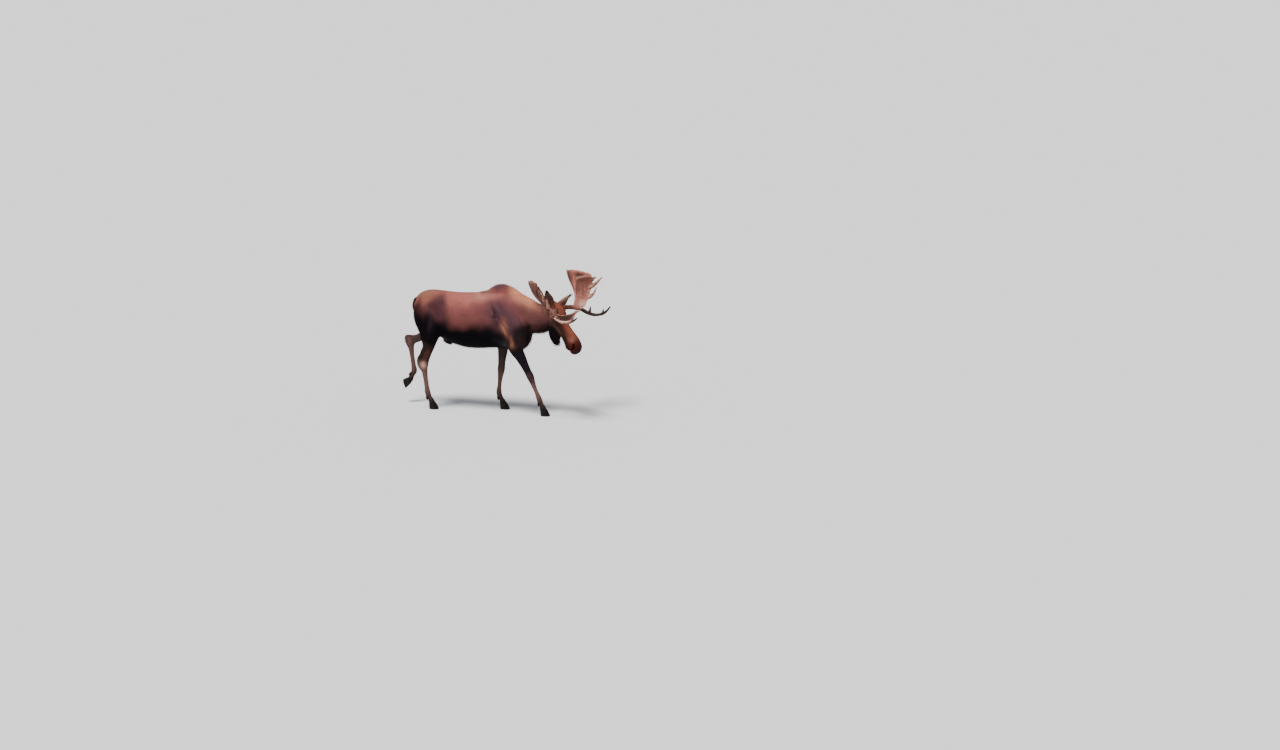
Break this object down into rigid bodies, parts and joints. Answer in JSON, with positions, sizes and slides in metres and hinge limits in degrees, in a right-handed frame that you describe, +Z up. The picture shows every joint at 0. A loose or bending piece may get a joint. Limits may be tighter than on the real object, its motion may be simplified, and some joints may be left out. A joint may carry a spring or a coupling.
{
  "type": "moose",
  "caption": "Life-size still model of a bull moose walking with one hind leg lifted, in a dark brown summer coat, with palmate antlers in velvet.",
  "frame": {"origin": "on the floor, under the middle of the whole model's bounding box", "axes": "+X towards the moose's nose, +Y to its left, +Z up"},
  "size_m": [3.1148, 1.388, 2.0787],
  "materials": {
    "coat": "short dense hair, dark red-brown above, near black below, grey-brown legs",
    "velvet": "short velvet skin over the antler, pinkish tan with dark tine tips",
    "hoof_horn": "dark horn, satin, ringed and worn at the toe",
    "eye": "wet glossy dark brown"
  },
  "bodies": {
    "root": {"antler_left_beam": "velvet", "antler_left_brow": "velvet", "antler_left_palm": "velvet", "antler_right_beam": "velvet", "antler_right_brow": "velvet", "antler_right_palm": "velvet", "bell": "coat", "dewclaw_fore_left_inner": "hoof_horn", "dewclaw_fore_left_outer": "hoof_horn", "dewclaw_fore_right_inner": "hoof_horn", "dewclaw_fore_right_outer": "hoof_horn", "dewclaw_hind_left_inner": "hoof_horn", "dewclaw_hind_left_outer": "hoof_horn", "dewclaw_hind_right_inner": "hoof_horn", "dewclaw_hind_right_outer": "hoof_horn", "ear_left": "coat", "ear_right": "coat", "eye_left": "eye", "eye_right": "eye", "foreleg_left": "coat", "foreleg_right": "coat", "head": "coat", "hindleg_left": "coat", "hindleg_right": "coat", "hoof_fore_left_inner": "hoof_horn", "hoof_fore_left_outer": "hoof_horn", "hoof_fore_right_inner": "hoof_horn", "hoof_fore_right_outer": "hoof_horn", "hoof_hind_left_inner": "hoof_horn", "hoof_hind_left_outer": "hoof_horn", "hoof_hind_right_inner": "hoof_horn", "hoof_hind_right_outer": "hoof_horn", "neck": "coat", "tail": "coat", "trunk": "coat"}
  },
  "joints": []
}
